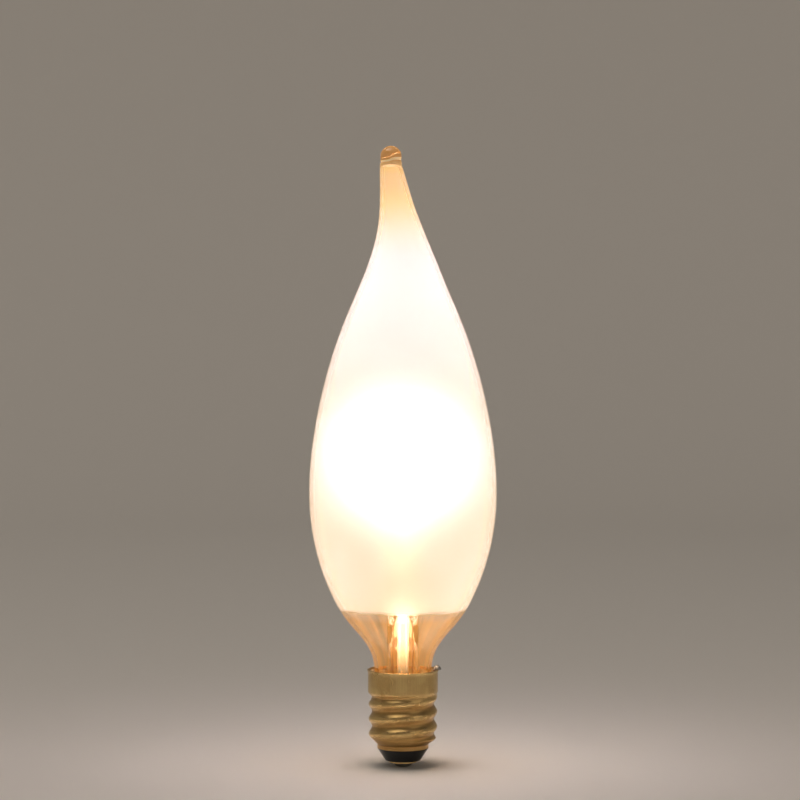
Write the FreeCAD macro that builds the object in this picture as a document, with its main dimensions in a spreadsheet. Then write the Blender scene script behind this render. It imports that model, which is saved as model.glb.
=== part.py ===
import FreeCAD
import Part
import Sketcher
import os

# Candle lamp with a bent flame tip on a 12 mm screw cap. Millimetres, +Z up.
# The origin is the lowest point of the centre contact, and Z is the axis of the
# cap. The flame tip leans towards -X and the side contact is at +X.

# Every driving dimension: lengths in millimetres, and leans in degrees.
SIZES = {
    # Centre contact, eyelet and insulator
    "solder_diameter": 3.4,
    "solder_flat_diameter": 1.2,
    "solder_height": 0.75,
    "solder_round": 0.35,
    "solder_plug_length": 0.5,
    "eyelet_diameter": 4.8,
    "eyelet_thickness": 0.3,
    "eyelet_bore": 1.0,
    "eyelet_collar_wall": 0.3,
    "eyelet_collar_length": 1.35,
    "insulator_face_diameter": 6.0,
    "insulator_cone_height": 2.15,
    "insulator_seat_length": 1.1,
    "insulator_crown_diameter": 6.4,
    "insulator_crown_height": 0.6,
    # Screw cap
    "cap_wall": 0.28,
    "lip_diameter": 8.8,
    "lip_length": 0.7,
    "thread_lead_in": 1.0,
    "thread_length": 7.1,
    "thread_major": 11.76,
    "thread_depth": 0.58,
    "thread_pitch": 2.54,
    "thread_runout": 0.9,
    "skirt_step": 0.12,
    "skirt_length": 3.3,
    "rim_length": 0.4,
    "rim_flare": 0.15,
    # Neck in the cap, and the cement round it
    "cement_gap": 0.82,
    "cement_depth": 0.2,
    "cement_clearance": 0.4,
    "neck_insertion": 2.6,
    "neck_bare_length": 0.14,
    # Belly of the envelope. A lean is the slope of the wall where one arc meets the next
    "bulb_diameter": 32.0,
    "glass_wall": 0.7,
    "neck_fillet_radius": 8.06,
    "fillet_lean": 34.4,
    "neck_sweep_radius": 20.0,
    "neck_lean": 42.9,
    "shoulder_radius": 22.0,
    "shoulder_lean": 26.35,
    "upper_belly_radius": 63.0,
    "upper_lean": 7.5,
    "flame_lean": 23.8,
    # Drawn and bent tip of the envelope
    "tip_base_diameter": 17.24,
    "tip_length": 23.2,
    "tip_diameter": 3.76,
    "tip_lean": 10.4,
    "flame_handle": 15.6,
    "tip_handle": 5.6,
    "bend_rise": 5.1,
    "bend_length": 9.5,
    "bend_angle": 8.65,
    "bead_rise": 1.6,
    "bead_diameter": 3.6,
    # Flare and press of the stem
    "flare_wall": 0.6,
    "flange_thickness": 0.6,
    "flare_length": 4.0,
    "flare_roll": 0.4,
    "flare_tube_length": 13.0,
    "press_taper_length": 3.0,
    "press_length": 3.6,
    "press_width": 6.2,
    "press_thickness": 2.5,
    # Exhaust tube and the vent above it
    "exhaust_diameter": 1.9,
    "exhaust_bore": 1.1,
    "exhaust_root_diameter": 2.6,
    "exhaust_root_length": 4.4,
    "exhaust_seat_depth": 2.1,
    "exhaust_tip_clearance": 2.6,
    "exhaust_tip_diameter": 0.7,
    "exhaust_taper": 1.8,
    "vent_diameter": 1.1,
    "vent_rise": 2.1,
    # Leads
    "lead_gap": 0.8,
    "inner_lead_diameter": 0.5,
    "seal_cover": 1.2,
    "seal_length": 3.8,
    "lead_rise": 2.4,
    "lead_splay": 7.0,
    "clamp_diameter": 0.84,
    "clamp_length": 1.6,
    "clamp_overlap": 1.0,
    "fuse_lead_diameter": 0.3,
    "fuse_lead_clearance": 0.7,
    "fuse_lead_rise": 0.6,
    "fuse_lead_depth": 0.35,
    "side_lead_diameter": 0.36,
    "side_lead_clearance": 0.3,
    "side_lead_rise": 0.35,
    "side_solder_inset": 0.2,
    "side_solder_clearance": 0.15,
    "side_solder_foot": 0.4,
    "side_solder_dome": 0.4,
    "side_solder_crown": 0.8,
    # Filament and its mount
    "rod_diameter": 1.8,
    "rod_length": 13.4,
    "button_diameter": 3.0,
    "button_thickness": 2.0,
    "filament_diameter": 0.4,
    "filament_pitch": 2.5,
    "filament_rise": 3.0,
    "filament_lead_in": 1.2,
    "filament_swing": 7.0,
    "filament_crest_width": 0.7,
    "support_diameter": 0.25,
    "support_clearance": 0.025,
    "support_hook_length": 0.85,
    "support_root_spacing": 0.8,
    "support_seat_depth": 0.7,
    "support_bend_rise": 1.5,
    "support_splay": 4.5,
}

# Circular sections of the bent tip, and flats in one turn of the thread.
TIP_SECTIONS = 9
THREAD_FLATS = 6

# Values that follow from the driving dimensions, from the centre contact upwards.
SHAPE = {
    "eyelet_top": "=sizes.solder_height + sizes.eyelet_thickness",
    "collar_radius": "=sizes.eyelet_bore / 2 + sizes.eyelet_collar_wall",
    "collar_top": "=eyelet_top + sizes.eyelet_collar_length",
    "lip_bottom": "=eyelet_top + sizes.insulator_cone_height",
    "lip_top": "=lip_bottom + sizes.lip_length",
    "lip_bore": "=sizes.lip_diameter / 2 - sizes.cap_wall",
    "insulator_seat_top": "=lip_bottom + sizes.insulator_seat_length",
    "insulator_top": "=insulator_seat_top + sizes.insulator_crown_height",
    # Thread of the cap as a circle that circles the axis
    "thread_bottom": "=lip_top + sizes.thread_lead_in",
    "thread_top": "=thread_bottom + sizes.thread_length",
    "thread_radius": "=(sizes.thread_major - sizes.thread_depth) / 2",
    "thread_bore": "=sizes.thread_major / 2 - sizes.thread_depth - sizes.cap_wall",
    "thread_phase": "=-360 * sizes.thread_length / sizes.thread_pitch",
    "skirt_bottom": "=thread_top + sizes.thread_runout",
    "skirt_radius": "=sizes.thread_major / 2 + sizes.skirt_step",
    "skirt_bore": "=skirt_radius - sizes.cap_wall",
    "rim_bottom": "=skirt_bottom + sizes.skirt_length",
    "cap_top": "=rim_bottom + sizes.rim_length",
    "cement_top": "=cap_top - sizes.cement_depth",
    # Neck of the envelope, which the cement holds in the skirt
    "neck_rim": "=cap_top - sizes.neck_insertion",
    "neck_radius": "=skirt_bore - sizes.cement_gap",
    "neck_bore": "=neck_radius - sizes.glass_wall",
    "fillet_bottom": "=cement_top + sizes.neck_bare_length",
    # The two arcs whose radius closes the outline at the belly and at the tip
    "bulb_radius": "=sizes.bulb_diameter / 2",
    "lower_belly_radius": "=(bulb_radius - neck_radius"
                          " - sizes.neck_fillet_radius * (1 - cos(sizes.fillet_lean))"
                          " - sizes.neck_sweep_radius * (cos(sizes.fillet_lean) - cos(sizes.neck_lean))"
                          " - sizes.shoulder_radius * (cos(sizes.shoulder_lean) - cos(sizes.neck_lean)))"
                          " / (1 - cos(sizes.shoulder_lean))",
    "flame_radius": "=(bulb_radius - sizes.tip_base_diameter / 2"
                    " - sizes.upper_belly_radius * (1 - cos(sizes.upper_lean)))"
                    " / (cos(sizes.upper_lean) - cos(sizes.flame_lean))",
    # Stem, which is sealed to the rim of the neck
    "flange_bottom": "=neck_rim - sizes.flange_thickness",
    "flare_height": "=neck_rim + sizes.flare_length",
    "roll_height": "=neck_rim + sizes.flare_length / 2",
    "exhaust_root_radius": "=sizes.exhaust_root_diameter / 2",
    "flare_bore": "=exhaust_root_radius + sizes.lead_gap",
    "flare_radius": "=flare_bore + sizes.flare_wall",
    "press_bottom": "=neck_rim + sizes.flare_tube_length",
    "flare_bore_top": "=press_bottom - sizes.flare_wall",
    # Side of the square that fits inside the round end of the flare tube
    "press_root_side": "=flare_radius * sqrt(2)",
    "press_full": "=press_bottom + sizes.press_taper_length",
    "press_top": "=press_full + sizes.press_length",
    "exhaust_top": "=flare_bore_top + sizes.exhaust_seat_depth",
    "exhaust_root_bottom": "=flare_bore_top - sizes.exhaust_root_length",
    "exhaust_tip": "=insulator_top + sizes.exhaust_tip_clearance",
    "exhaust_shoulder": "=exhaust_tip + sizes.exhaust_taper",
    "vent_height": "=exhaust_top + sizes.vent_rise",
    # Leads, in the middle of the gap between flare tube and exhaust tube
    "lead_offset": "=exhaust_root_radius + sizes.lead_gap / 2",
    "seal_top": "=press_top - sizes.seal_cover",
    "seal_bottom": "=seal_top - sizes.seal_length",
    "lead_bend_low": "=press_top + sizes.lead_rise",
    "lead_bend_high": "=lead_bend_low + sizes.lead_splay",
    "fuse_bend_high": "=exhaust_tip + sizes.fuse_lead_clearance",
    "fuse_bend_low": "=insulator_top + sizes.fuse_lead_rise",
    "fuse_end": "=sizes.solder_height - sizes.fuse_lead_depth",
    "side_lead_radius": "=skirt_bore - sizes.cement_gap / 2",
    "side_lead_turn": "=flange_bottom - sizes.side_lead_clearance",
    "side_lead_top": "=cap_top + sizes.side_lead_rise",
    "side_solder_spot": "=skirt_radius - sizes.side_solder_inset",
    "side_solder_radius": "=side_solder_spot - neck_radius - sizes.side_solder_clearance",
    "side_solder_shoulder": "=cap_top + sizes.side_solder_foot",
    # Filament and its mount, which stands on the press
    "button_top": "=press_top + sizes.rod_length",
    "button_bottom": "=button_top - sizes.button_thickness",
    "filament_end": "=button_top + sizes.filament_rise",
    "filament_leg_start": "=filament_end + sizes.filament_lead_in",
    "filament_crest": "=filament_end + sizes.filament_swing",
    "clamp_top": "=filament_end + sizes.clamp_overlap",
    "support_bend_low": "=button_top + sizes.support_bend_rise",
    "support_bend_high": "=support_bend_low + sizes.support_splay",
    "support_loop": "=sizes.filament_diameter / 2 + sizes.support_diameter / 2"
                    " + sizes.support_clearance",
}

# Belly wall from the neck up. Each arc has straight bands, its radius, which is
# negative where it is hollow, and the lean of the wall at its two ends.
WALL_ARCS = (
    (3, "-sizes.neck_fillet_radius", "0", "-sizes.fillet_lean"),
    (1, "-sizes.neck_sweep_radius", "-sizes.fillet_lean", "-sizes.neck_lean"),
    (2, "sizes.shoulder_radius", "-sizes.neck_lean", "-sizes.shoulder_lean"),
    (4, "lower_belly_radius", "-sizes.shoulder_lean", "0"),
    (2, "sizes.upper_belly_radius", "0", "sizes.upper_lean"),
    (4, "flame_radius", "sizes.upper_lean", "sizes.flame_lean"),
)
SHAPE["wall_lean_0"] = "=0"
SHAPE["wall_radius_0"] = "=neck_radius"
SHAPE["wall_height_0"] = "=fillet_bottom"
wall_rows = 0
for bands, radius, lean_start, lean_end in WALL_ARCS:
    for band in range(1, bands + 1):
        before, after = wall_rows, wall_rows + 1
        across = f"(cos(wall_lean_{after}) - cos(wall_lean_{before}))"
        along = f"(sin(wall_lean_{after}) - sin(wall_lean_{before}))"
        SHAPE[f"wall_lean_{after}"] = f"={lean_start} + ({lean_end} - ({lean_start})) * {band} / {bands}"
        SHAPE[f"wall_radius_{after}"] = f"=wall_radius_{before} + ({radius}) * {across}"
        SHAPE[f"wall_height_{after}"] = f"=wall_height_{before} + ({radius}) * {along}"
        wall_rows = after

# The tip starts at the top of the belly, with the slope that the wall has there.
SHAPE["flame_top"] = f"=wall_height_{wall_rows}"
SHAPE["flame_top_radius"] = "=sizes.tip_base_diameter / 2"
SHAPE["flame_top_wall"] = "=sizes.glass_wall / cos(sizes.flame_lean)"
SHAPE["flame_handle_radius"] = "=flame_top_radius - sizes.flame_handle * sin(sizes.flame_lean)"
SHAPE["flame_handle_height"] = "=flame_top + sizes.flame_handle * cos(sizes.flame_lean)"
SHAPE["tip_radius"] = "=sizes.tip_diameter / 2"
SHAPE["tip_top"] = "=flame_top + sizes.tip_length"
SHAPE["tip_handle_radius"] = "=tip_radius + sizes.tip_handle * sin(sizes.tip_lean)"
SHAPE["tip_handle_height"] = "=tip_top - sizes.tip_handle * cos(sizes.tip_lean)"
SHAPE["bend_bottom"] = "=flame_top + sizes.bend_rise"
SHAPE["bend_top"] = "=bend_bottom + sizes.bend_length"

# Every section of the tip follows one cubic curve from the belly to the bead.
for index in range(TIP_SECTIONS):
    t = f"({index} / {TIP_SECTIONS - 1})"
    weights = [f"(1 - {t}) ^ 3", f"3 * (1 - {t}) ^ 2 * {t}", f"3 * (1 - {t}) * {t} ^ 2", f"{t} ^ 3"]
    radii = ["flame_top_radius", "flame_handle_radius", "tip_handle_radius", "tip_radius"]
    heights = ["flame_top", "flame_handle_height", "tip_handle_height", "tip_top"]
    level = f"section_height_{index}"
    SHAPE[f"section_radius_{index}"] = "=" + " + ".join(f"{w} * {r}" for w, r in zip(weights, radii))
    SHAPE[level] = "=" + " + ".join(f"{w} * {z}" for w, z in zip(weights, heights))
    SHAPE[f"section_wall_{index}"] = f"=flame_top_wall * (1 - {t}) + sizes.glass_wall * {t}"
    # The axis bends along an arc and then runs on straight
    SHAPE[f"section_bend_{index}"] = f"=min(max({level}; bend_bottom); bend_top) - bend_bottom"
    SHAPE[f"section_shift_{index}"] = (
        f"=-tan(sizes.bend_angle) * (section_bend_{index} ^ 2 / 2 / sizes.bend_length"
        f" + max({level}; bend_top) - bend_top)")
SHAPE["bead_height"] = "=tip_top + sizes.bead_rise"

doc = FreeCAD.newDocument("candle_lamp")
sizes = doc.addObject("Spreadsheet::Sheet", "sizes")
shape = doc.addObject("Spreadsheet::Sheet", "shape")


# The two ends of a sketch line, as constraints number them
START = 1
END = 2


def fill(sheet, cells):
    """One row for each value: its name, then the cell that carries the alias."""
    for row, (alias, content) in enumerate(cells.items(), start=1):
        sheet.set(f"A{row}", alias)
        sheet.set(f"B{row}", str(content))
        sheet.setAlias(f"B{row}", alias)
    doc.recompute()


def number(expression):
    """The present value of an expression in the two sheets."""
    return float(sizes.evalExpression(expression))


def bind(item, **expressions):
    """Tie properties to the sheets. A double underscore stands for a dot."""
    for name, expression in expressions.items():
        item.setExpression(name.replace("__", "."), expression)
    return item


def place(item, x="0", y="0", z="0"):
    return bind(item, Placement__Base__x=x, Placement__Base__y=y, Placement__Base__z=z)


def constrain(sketch, expression, kind, *where):
    sketch.addConstraint(Sketcher.Constraint(kind, *where, number(expression)))
    sketch.setExpression(f"Constraints[{sketch.ConstraintCount - 1}]", expression)


def draw(sketch, corners, closed=True):
    """Straight sides through (across, up) corners that are tied to the sheets."""
    spots = [FreeCAD.Vector(number(across), number(up), 0) for across, up in corners]
    sides = len(corners) if closed else len(corners) - 1
    for side in range(sides):
        sketch.addGeometry(Part.LineSegment(spots[side], spots[(side + 1) % len(spots)]))
    for index, (across, up) in enumerate(corners):
        side = min(index, sides - 1)
        end = START if index == side else END
        constrain(sketch, across, "DistanceX", -1, 1, side, end)
        constrain(sketch, up, "DistanceY", -1, 1, side, end)
    for side in range(0 if closed else 1, sides):
        sketch.addConstraint(Sketcher.Constraint("Coincident", (side - 1) % sides, END, side, START))


def turned(name, outline):
    """A body of revolution about the axis of the cap."""
    body = doc.addObject("PartDesign::Body", name)
    plane = next(item for item in body.Origin.OriginFeatures if item.Role == "XZ_Plane")
    sketch = body.newObject("Sketcher::SketchObject", name + "_profile")
    sketch.AttachmentSupport = (plane, [""])
    sketch.MapMode = "FlatFace"
    draw(sketch, outline)
    revolution = body.newObject("PartDesign::Revolution", name + "_revolution")
    revolution.Profile = sketch
    revolution.ReferenceAxis = (sketch, ["V_Axis"])
    revolution.Angle = 360
    return body


def circle(name, radius, x="0", y="0", z="0"):
    return place(bind(doc.addObject("Part::Circle", name), Radius=radius), x, y, z)


def cylinder(name, diameter, bottom, top, x="0"):
    rod = doc.addObject("Part::Cylinder", name)
    return place(bind(rod, Radius=f"({diameter}) / 2", Height=f"{top} - ({bottom})"), x=x, z=bottom)


def cone(name, radius_below, radius_above, bottom, top, x="0"):
    taper = doc.addObject("Part::Cone", name)
    bind(taper, Radius1=radius_below, Radius2=radius_above, Height=f"{top} - ({bottom})")
    return place(taper, x=x, z=bottom)


def rectangle(name, width, depth, z):
    """An upright section centred on the axis, as wide in x as the width."""
    sketch = doc.addObject("Sketcher::SketchObject", name)
    place(sketch, z=z)
    draw(sketch, [(f"{across} * {width} / 2", f"{up} * {depth} / 2")
                  for across, up in ((-1, -1), (1, -1), (1, 1), (-1, 1))])
    return sketch


def sphere(name, radius, x="0", z="0"):
    return place(bind(doc.addObject("Part::Sphere", name), Radius=radius), x=x, z=z)


def loft(name, sections, ruled=False):
    skin = doc.addObject("Part::Loft", name)
    skin.Sections = sections
    skin.Solid = True
    skin.Ruled = ruled
    return skin


def fuse(name, pieces):
    whole = doc.addObject("Part::MultiFuse", name)
    whole.Shapes = pieces
    return whole


def cut(name, base, tools):
    """The base without the tools, one cut after another."""
    for index, tool in enumerate(tools):
        last = index == len(tools) - 1
        step = doc.addObject("Part::Cut", name if last else f"{name}_cut_{index + 1}")
        step.Base = base
        step.Tool = tool
        base = step
    return base


def swept(name, path, runs, section):
    """A section carried along the straight runs of a path, mitred at its bends."""
    sweep = doc.addObject("Part::Sweep", name)
    sweep.Sections = [section]
    sweep.Spine = (path, [f"Edge{run + 1}" for run in range(runs)])
    sweep.Solid = True
    sweep.Transition = "Right corner"
    return sweep


def wire(name, points, diameter, y="0"):
    """A round wire in a plane of constant y, which starts vertically."""
    path = doc.addObject("Sketcher::SketchObject", name + "_path")
    path.Placement.Rotation = FreeCAD.Rotation(FreeCAD.Vector(1, 0, 0), 90)
    place(path, y=y)
    draw(path, points, closed=False)
    section = circle(name + "_section", f"({diameter}) / 2", points[0][0], y, points[0][1])
    return swept(name, path, len(points) - 1, section)


def hook_wire(name, x, level, side):
    """The hook of a support, which crosses the filament above it for a side of 1 and
    below it for -1, and ends on its far side."""
    crossing = f"{level} + ({side}) * shape.support_loop"
    path = doc.addObject("Sketcher::SketchObject", name + "_path")
    path.Placement.Rotation = FreeCAD.Rotation(FreeCAD.Vector(1, 1, 1), 120)
    place(path, x=x)
    start = f"{crossing} - sizes.support_hook_length"
    draw(path, [
        ("shape.support_loop", start),
        ("shape.support_loop", crossing),
        ("-shape.support_loop", crossing),
        ("-shape.support_loop", f"{crossing} - ({side}) * sizes.support_hook_length"),
    ], closed=False)
    section = circle(name + "_section", "sizes.support_diameter / 2", x, "shape.support_loop", start)
    return swept(name, path, 3, section)


fill(sizes, SIZES)
fill(shape, SHAPE)
thread_flats = round(THREAD_FLATS * number("sizes.thread_length / sizes.thread_pitch"))

# Glass envelope: a turned belly, open at the neck, with a lofted flame tip whose
# inside ends in a dome below the solid bead.
outside = [("shape.neck_radius", "shape.neck_rim")]
inside = [("shape.neck_bore", "shape.neck_rim")]
for row in range(wall_rows + 1):
    outside.append((f"shape.wall_radius_{row}", f"shape.wall_height_{row}"))
    inside.append((f"shape.wall_radius_{row} - sizes.glass_wall * cos(shape.wall_lean_{row})",
                   f"shape.wall_height_{row} - sizes.glass_wall * sin(shape.wall_lean_{row})"))
inside[-1] = ("shape.flame_top_radius - shape.flame_top_wall", "shape.flame_top")
belly = turned("belly", outside + inside[::-1])
outer_sections = []
inner_sections = []
for index in range(TIP_SECTIONS):
    spot = {"x": f"shape.section_shift_{index}", "z": f"shape.section_height_{index}"}
    outer_sections.append(circle(f"tip_outside_{index}", f"shape.section_radius_{index}", **spot))
    inner_radius = f"shape.section_radius_{index} - shape.section_wall_{index}"
    inner_sections.append(circle(f"tip_inside_{index}", inner_radius, **spot))
inner_sections.pop()
bead_spot = {"x": f"shape.section_shift_{TIP_SECTIONS - 1}", "z": "shape.bead_height"}
outer_sections.append(circle("bead_section", "sizes.bead_diameter / 2", **bead_spot))
tip = fuse("tip_outside", [
    loft("tip_skin", outer_sections, ruled=True),
    sphere("bead", "sizes.bead_diameter / 2", **bead_spot),
])
last = TIP_SECTIONS - 2
hollow = fuse("tip_hollow", [
    loft("tip_hollow_skin", inner_sections, ruled=True),
    sphere("tip_dome", f"shape.section_radius_{last} - shape.section_wall_{last}",
           f"shape.section_shift_{last}", f"shape.section_height_{last}"),
])
glass_bulb = fuse("glass_bulb", [belly, cut("flame_tip", tip, [hollow])])

# Filament: a zigzag between the leads over and under three hooks, drawn as the
# envelope of its fine coil.
filament_path = [("-2 * sizes.filament_pitch", "shape.filament_end"),
                 ("-2 * sizes.filament_pitch", "shape.filament_leg_start")]
for turn in (-1, 0, 1):
    height = "shape.filament_crest" if turn else "shape.filament_end"
    filament_path.append((f"{turn} * sizes.filament_pitch - sizes.filament_crest_width / 2", height))
    filament_path.append((f"{turn} * sizes.filament_pitch + sizes.filament_crest_width / 2", height))
filament_path.append(("2 * sizes.filament_pitch", "shape.filament_leg_start"))
filament_path.append(("2 * sizes.filament_pitch", "shape.filament_end"))
filament = wire("filament", filament_path, "sizes.filament_diameter")

# Leads: a nickel wire in the bulb, a seal wire in the press and a thin outer wire
# on each side. The left outer wire is the fuse, the right one the side lead.
inner_leads = []
seal_wires = []
for side, sign in (("left", "-"), ("right", "")):
    at_press = f"{sign}shape.lead_offset"
    at_filament = f"{sign}2 * sizes.filament_pitch"
    lead = wire(f"lead_wire_{side}", [
        (at_press, "shape.seal_top"),
        (at_press, "shape.lead_bend_low"),
        (at_filament, "shape.lead_bend_high"),
        (at_filament, "shape.filament_end"),
    ], "sizes.inner_lead_diameter")
    clamp = cylinder(f"clamp_{side}", "sizes.clamp_diameter", "shape.clamp_top - sizes.clamp_length",
                     "shape.clamp_top", at_filament)
    inner_leads.append(cut(f"inner_lead_{side}", fuse(f"hooked_lead_{side}", [lead, clamp]), [filament]))
    seal_wires.append(cylinder(f"seal_wire_{side}", "sizes.inner_lead_diameter",
                               "shape.seal_bottom", "shape.seal_top", at_press))
fuse_lead = wire("fuse_lead", [
    ("-shape.lead_offset", "shape.seal_bottom"),
    ("-shape.lead_offset", "shape.fuse_bend_high"),
    ("0", "shape.fuse_bend_low"),
    ("0", "shape.fuse_end"),
], "sizes.fuse_lead_diameter")
side_lead = wire("side_lead", [
    ("shape.lead_offset", "shape.seal_bottom"),
    ("shape.lead_offset", "shape.side_lead_turn"),
    ("shape.side_lead_radius", "shape.side_lead_turn"),
    ("shape.side_lead_radius", "shape.side_lead_top"),
    ("shape.skirt_radius", "shape.side_lead_top"),
], "sizes.side_lead_diameter")

# Filament supports: each is rooted upright in the button. The outer two carry the
# crests of the filament from below, and the middle one holds its trough down.
supports = []
for side, turn in (("left", -1), ("centre", 0), ("right", 1)):
    x = f"{turn} * sizes.filament_pitch"
    root = f"{turn} * sizes.support_root_spacing"
    level = "shape.filament_crest" if turn else "shape.filament_end"
    hook_side = -1 if turn else 1
    stalk_top = f"{level} + ({hook_side}) * shape.support_loop - sizes.support_hook_length"
    stalk_points = [(x, stalk_top)]
    if turn:
        stalk_points += [(x, "shape.support_bend_high"), (root, "shape.support_bend_low")]
    stalk_points.append((root, "shape.button_top - sizes.support_seat_depth"))
    stalk = wire(f"support_stalk_{side}", stalk_points, "sizes.support_diameter", "shape.support_loop")
    hook = hook_wire(f"support_hook_{side}", x, level, hook_side)
    supports.append(fuse(f"support_wire_{side}", [stalk, hook]))

# Glass rod that stands on the press and carries the supports in its button.
rod = turned("rod_and_button", [
    ("0", "shape.press_top"),
    ("sizes.rod_diameter / 2", "shape.press_top"),
    ("sizes.rod_diameter / 2", "shape.button_bottom"),
    ("sizes.button_diameter / 2", "shape.button_bottom"),
    ("sizes.button_diameter / 2", "shape.button_top"),
    ("0", "shape.button_top"),
])
button_rod = cut("button_rod", rod, supports)

# Stem: a flared tube that closes the neck, pinched flat round the seal wires.
tube = turned("flare", [
    ("shape.neck_radius", "shape.flange_bottom"),
    ("shape.neck_radius", "shape.neck_rim"),
    ("shape.neck_bore", "shape.neck_rim"),
    ("shape.flare_radius + sizes.flare_roll", "shape.roll_height"),
    ("shape.flare_radius", "shape.flare_height"),
    ("shape.flare_radius", "shape.press_bottom"),
    ("0", "shape.press_bottom"),
    ("0", "shape.flare_bore_top"),
    ("shape.flare_bore", "shape.flare_bore_top"),
    ("shape.flare_bore", "shape.flare_height"),
    ("shape.flare_bore + sizes.flare_roll", "shape.roll_height"),
    ("shape.neck_bore - sizes.flare_wall", "shape.flange_bottom"),
])
press_sections = [
    rectangle("press_root", "shape.press_root_side", "shape.press_root_side", "shape.press_bottom"),
    rectangle("press_waist", "sizes.press_width", "sizes.press_thickness", "shape.press_full"),
    rectangle("press_head", "sizes.press_width", "sizes.press_thickness", "shape.press_top"),
]
vent = cylinder("vent_side", "sizes.vent_diameter", "0", "sizes.press_thickness")
vent.Placement.Rotation = FreeCAD.Rotation(FreeCAD.Vector(1, 0, 0), 90)
place(vent, z="shape.vent_height")
flare_stem = cut("flare_stem", fuse("stem_glass", [tube, loft("press", press_sections, ruled=True)]), [
    cylinder("exhaust_seat", "sizes.exhaust_root_diameter", "shape.flare_bore_top", "shape.exhaust_top"),
    cylinder("vent_riser", "sizes.vent_diameter", "shape.exhaust_top", "shape.vent_height"),
    vent,
    cylinder("seal_bore_left", "sizes.inner_lead_diameter", "shape.seal_bottom", "shape.press_top",
             "-shape.lead_offset"),
    cylinder("seal_bore_right", "sizes.inner_lead_diameter", "shape.seal_bottom", "shape.press_top",
             "shape.lead_offset"),
    cylinder("fuse_bore", "sizes.fuse_lead_diameter", "shape.flare_bore_top", "shape.seal_bottom",
             "-shape.lead_offset"),
    cylinder("side_bore", "sizes.side_lead_diameter", "shape.flare_bore_top", "shape.seal_bottom",
             "shape.lead_offset"),
])

# Exhaust tube: fused to the stem by a thicker root, drawn down to a point and melted
# shut below it.
exhaust_tube = turned("exhaust_tube", [
    ("0", "shape.exhaust_tip"),
    ("sizes.exhaust_tip_diameter / 2", "shape.exhaust_tip"),
    ("sizes.exhaust_diameter / 2", "shape.exhaust_shoulder"),
    ("sizes.exhaust_diameter / 2", "shape.exhaust_root_bottom"),
    ("shape.exhaust_root_radius", "shape.flare_bore_top"),
    ("shape.exhaust_root_radius", "shape.exhaust_top"),
    ("sizes.exhaust_bore / 2", "shape.exhaust_top"),
    ("sizes.exhaust_bore / 2", "shape.exhaust_shoulder"),
    ("0", "shape.exhaust_tip + sizes.exhaust_taper / 2"),
])

# Screw cap: brass skin rolled to a round thread. Each section of the thread is a
# circle whose centre goes round the axis once in a pitch.
thread_sections = [circle("lip_section", "sizes.lip_diameter / 2", z="shape.lip_top")]
for flat in range(thread_flats + 1):
    share = f"{flat} / {thread_flats}"
    angle = f"shape.thread_phase * (1 - {share})"
    thread_sections.append(circle(
        f"thread_section_{flat}", "shape.thread_radius",
        f"sizes.thread_depth / 2 * cos({angle})", f"sizes.thread_depth / 2 * sin({angle})",
        f"shape.thread_bottom + sizes.thread_length * {share}"))
thread_sections.append(circle("skirt_section", "shape.skirt_radius", z="shape.skirt_bottom"))
cap_outside = fuse("cap_outside", [
    cylinder("cap_lip", "sizes.lip_diameter", "shape.lip_bottom", "shape.lip_top"),
    loft("cap_thread", thread_sections, ruled=True),
    cylinder("cap_skirt", "2 * shape.skirt_radius", "shape.skirt_bottom", "shape.rim_bottom"),
    cone("cap_rim", "shape.skirt_radius", "shape.skirt_radius + sizes.rim_flare", "shape.rim_bottom",
         "shape.cap_top"),
])
cap_inside = turned("cap_inside", [
    ("0", "shape.lip_bottom"),
    ("shape.lip_bore", "shape.lip_bottom"),
    ("shape.lip_bore", "shape.lip_top"),
    ("shape.thread_bore", "shape.thread_bottom"),
    ("shape.thread_bore", "shape.thread_top"),
    ("shape.skirt_bore", "shape.skirt_bottom"),
    ("shape.skirt_bore", "shape.rim_bottom"),
    ("shape.skirt_bore + sizes.rim_flare", "shape.cap_top"),
    ("0", "shape.cap_top"),
])
screw_shell = cut("screw_shell", cap_outside, [cap_inside])

# Glass insulator that closes the cap round the centre contact.
base_insulator = turned("base_insulator", [
    ("shape.collar_radius", "shape.eyelet_top"),
    ("sizes.insulator_face_diameter / 2", "shape.eyelet_top"),
    ("sizes.lip_diameter / 2", "shape.lip_bottom"),
    ("shape.lip_bore", "shape.lip_bottom"),
    ("shape.lip_bore", "shape.insulator_seat_top"),
    ("sizes.insulator_crown_diameter / 2", "shape.insulator_top"),
    ("sizes.eyelet_bore / 2", "shape.insulator_top"),
    ("sizes.eyelet_bore / 2", "shape.collar_top"),
    ("shape.collar_radius", "shape.collar_top"),
])
contact_eyelet = turned("contact_eyelet", [
    ("sizes.eyelet_bore / 2", "sizes.solder_height"),
    ("sizes.eyelet_diameter / 2", "sizes.solder_height"),
    ("sizes.eyelet_diameter / 2", "shape.eyelet_top"),
    ("shape.collar_radius", "shape.eyelet_top"),
    ("shape.collar_radius", "shape.collar_top"),
    ("sizes.eyelet_bore / 2", "shape.collar_top"),
])
centre_solder = turned("centre_solder", [
    ("0", "0"),
    ("sizes.solder_flat_diameter / 2", "0"),
    ("sizes.solder_diameter / 2 - sizes.solder_round", "sizes.solder_height - sizes.solder_round"),
    ("sizes.solder_diameter / 2", "sizes.solder_height"),
    ("sizes.eyelet_bore / 2", "sizes.solder_height"),
    ("sizes.eyelet_bore / 2", "sizes.solder_height + sizes.solder_plug_length"),
    ("0", "sizes.solder_height + sizes.solder_plug_length"),
])
contact_solder = cut("contact_solder", centre_solder, [fuse_lead])

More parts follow.
